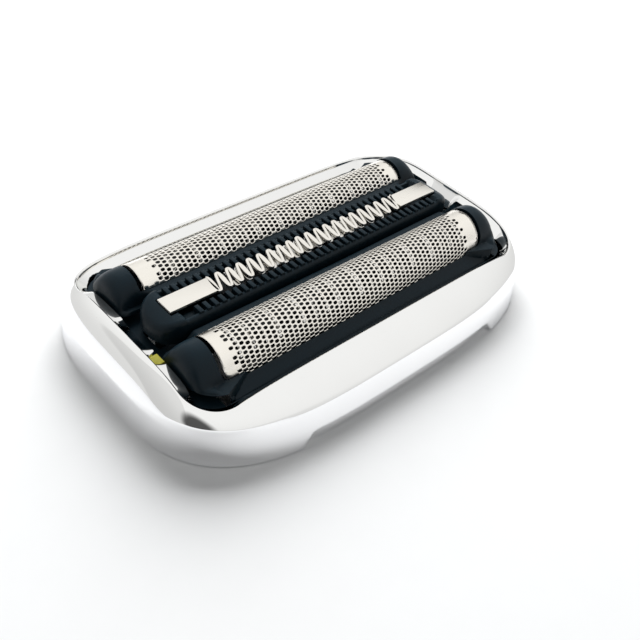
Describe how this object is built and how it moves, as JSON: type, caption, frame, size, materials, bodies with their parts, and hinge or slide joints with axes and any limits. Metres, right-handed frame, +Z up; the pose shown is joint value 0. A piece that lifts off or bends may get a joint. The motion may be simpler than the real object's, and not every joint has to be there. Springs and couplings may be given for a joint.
{
  "type": "shaver foil head",
  "caption": "Oval cassette head for an electric foil shaver: arched perforated foils beside a centre trimmer with a wavy lifting comb, held in a flared chromed frame.",
  "frame": {"origin": "under the middle of the head, on the surface its foot rim rests on", "axes": "+X along the foils, +Y towards the rear long side, +Z up through the foils"},
  "size_m": [0.061, 0.0392, 0.01],
  "materials": {
    "chrome_frame": "mirror chrome plating on moulded plastic",
    "black_plastic": "satin black moulded plastic",
    "cutter_plastic": "dark grey moulded plastic",
    "foil_steel": "satin perforated steel foil",
    "comb_steel": "brushed pressed steel strip",
    "blade_steel": "ground blade steel",
    "spring_steel": "bright spring wire",
    "tab_plastic": "olive yellow moulded plastic"
  },
  "bodies": {
    "frame": {"outer_frame": "chrome_frame", "cassette_chassis": "black_plastic", "left_lock_tab": "tab_plastic", "right_lock_tab": "tab_plastic", "front_left_spring": "spring_steel", "front_right_spring": "spring_steel", "rear_left_spring": "spring_steel", "rear_right_spring": "spring_steel", "trimmer_left_spring": "spring_steel", "trimmer_right_spring": "spring_steel"},
    "front_foil_carriage": {"front_foil_frame": "black_plastic", "front_foil": "foil_steel"},
    "front_cutter": {"front_cutter_carrier": "cutter_plastic", "front_cutter_blades": "blade_steel"},
    "rear_foil_carriage": {"rear_foil_frame": "black_plastic", "rear_foil": "foil_steel"},
    "rear_cutter": {"rear_cutter_carrier": "cutter_plastic", "rear_cutter_blades": "blade_steel"},
    "trimmer_carriage": {"trimmer_guard": "black_plastic", "trimmer_comb": "comb_steel"},
    "trimmer_cutter": {"trimmer_blade": "blade_steel", "trimmer_slider": "cutter_plastic", "trimmer_leaf_spring": "spring_steel"}
  },
  "joints": [
    {"name": "front_foil_float", "type": "slide", "parent": "frame", "child": "front_foil_carriage", "axis": [0, 0, -1], "range_m": [0, 0.001], "stiffness_N_per_m": 400, "springref_m": -0.0015, "deforming": ["front_left_spring", "front_right_spring"]},
    {"name": "rear_foil_float", "type": "slide", "parent": "frame", "child": "rear_foil_carriage", "axis": [0, 0, -1], "range_m": [0, 0.001], "stiffness_N_per_m": 400, "springref_m": -0.0015, "deforming": ["rear_left_spring", "rear_right_spring"]},
    {"name": "trimmer_float", "type": "slide", "parent": "frame", "child": "trimmer_carriage", "axis": [0, 0, -1], "range_m": [0, 0.001], "stiffness_N_per_m": 400, "springref_m": -0.0015, "deforming": ["trimmer_left_spring", "trimmer_right_spring"]},
    {"name": "front_cutter_stroke", "type": "slide", "parent": "front_foil_carriage", "child": "front_cutter", "axis": [1, 0, 0], "range_m": [-0.001, 0.001]},
    {"name": "rear_cutter_stroke", "type": "slide", "parent": "rear_foil_carriage", "child": "rear_cutter", "axis": [1, 0, 0], "range_m": [-0.001, 0.001]},
    {"name": "trimmer_blade_stroke", "type": "slide", "parent": "trimmer_carriage", "child": "trimmer_cutter", "axis": [1, 0, 0], "range_m": [-0.0008, 0.0008]}
  ]
}
